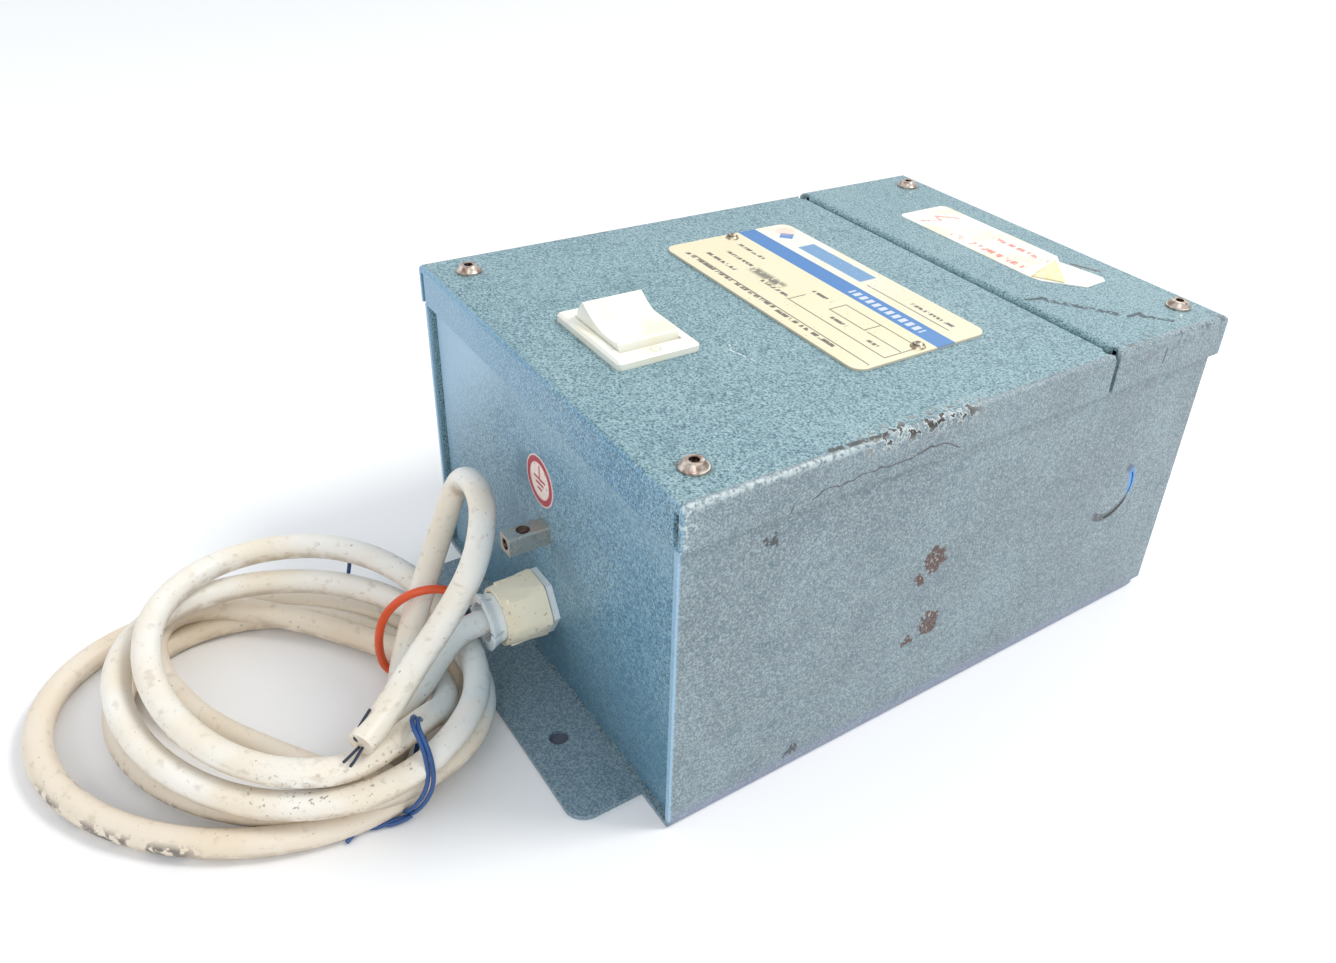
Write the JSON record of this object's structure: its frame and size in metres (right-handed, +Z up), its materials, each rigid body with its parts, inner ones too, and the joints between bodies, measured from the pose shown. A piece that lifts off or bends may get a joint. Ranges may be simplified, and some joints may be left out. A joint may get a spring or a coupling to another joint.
{
  "type": "garage door opener power unit",
  "caption": "Sheet-steel power unit for a garage door opener: rocker switch, cable gland with coiled mains lead, earth pillar, two lift-off covers, transformer inside.",
  "frame": {"origin": "centre of the four mounting holes, on the base plane", "axes": "+Z up out of the base; -Y towards the end with the cable gland; +X to the right seen from the gland end"},
  "size_m": [0.15, 0.3543, 0.1132],
  "materials": {
    "blue_hammer": "hammered enamel",
    "steel": "bright nickel plated",
    "zinc": "zinc plated",
    "nameplate": "satin cream print on aluminium with a blue band",
    "black_nylon": "satin",
    "ivory_gloss": "gloss ivory",
    "nylon_cream": "aged natural nylon",
    "clamp_grey": "translucent nylon",
    "label_white": "aged paper label",
    "earth_disc": "printed disc with a red ring",
    "brass": "dull",
    "cord_ivory": "soiled ivory sheath",
    "orange": "satin",
    "blue_wire": "satin",
    "core_steel": "varnished laminations",
    "bobbin": "natural nylon",
    "copper": "enamelled copper",
    "tape": "polyester tape",
    "aluminium": "mill finish",
    "can": "sleeved can",
    "block": "natural nylon",
    "fuse_glass": "clear",
    "wire_mixed": "insulated wire",
    "rubber": "matt"
  },
  "bodies": {
    "base": {"base_channel": "blue_hammer", "front_panel": "blue_hammer", "rear_panel": "blue_hammer", "compartment_divider": "zinc", "divider_grommet": "rubber", "rivet_nuts": "zinc", "gland_body": "clamp_grey", "gland_seal": "rubber", "gland_locknut": "nylon_cream", "earth_pillar": "steel", "earth_nuts": "zinc", "earth_tag": "brass", "earth_label": "earth_disc", "transformer_core": "core_steel", "transformer_bobbin": "bobbin", "primary_winding": "copper", "winding_insulation": "tape", "secondary_winding": "copper", "transformer_feet": "zinc", "core_bolts": "zinc", "foot_rivets": "aluminium", "smoothing_capacitor": "can", "capacitor_clip": "zinc", "heat_sink": "aluminium", "bridge_rectifier": "black_nylon", "rectifier_screw": "zinc", "fuse_base": "black_nylon", "fuse_clips": "brass", "terminal_block": "block", "terminal_inserts": "brass", "terminal_screws": "zinc", "mains_tail": "cord_ivory", "tab_sockets": "brass", "mains_cores": "wire_mixed", "switched_leads": "wire_mixed", "secondary_leads": "wire_mixed", "output_leads": "wire_mixed", "cord_lead": "cord_ivory", "cord_coil": "cord_ivory", "cord_loop": "cord_ivory", "cord_end_cores": "wire_mixed", "coil_tie": "orange", "coil_wire_tie": "blue_wire"},
    "front_cover": {"front_cover": "blue_hammer", "front_cover_screws": "steel", "nameplate": "nameplate", "nameplate_rivets": "steel", "switch_body": "ivory_gloss", "switch_tabs": "brass"},
    "rocker": {"switch_rocker": "ivory_gloss"},
    "rear_cover": {"rear_cover": "blue_hammer", "rear_cover_screws": "steel", "rear_label": "label_white"},
    "gland_nut": {"gland_nut": "nylon_cream"},
    "fuse": {"fuse_glass": "fuse_glass", "fuse_caps": "steel"},
    "earth_screw": {"earth_clamp_screw": "steel"}
  },
  "joints": [
    {"name": "front_cover_lift", "type": "slide", "parent": "base", "child": "front_cover", "axis": [0, 0, 1], "range_m": [0, 0.12]},
    {"name": "rear_cover_lift", "type": "slide", "parent": "base", "child": "rear_cover", "axis": [0, 0, 1], "range_m": [0, 0.12]},
    {"name": "rocker_tilt", "type": "hinge", "parent": "front_cover", "child": "rocker", "pos_m": [-0.0025, -0.0693, 0.105], "axis": [0, -1, 0], "range_deg": [0, 24]},
    {"name": "gland_nut_turn", "type": "hinge", "parent": "base", "child": "gland_nut", "pos_m": [0, -0.1075, 0.025], "axis": [0, -1, 0], "range_deg": [0, 330]},
    {"name": "fuse_pull", "type": "slide", "parent": "base", "child": "fuse", "axis": [0, 0, 1], "range_m": [0, 0.03]},
    {"name": "earth_screw_turn", "type": "hinge", "parent": "base", "child": "earth_screw", "pos_m": [0.0026, -0.1055, 0.0526], "axis": [0, 0, 1], "range_deg": [0, 330]}
  ]
}
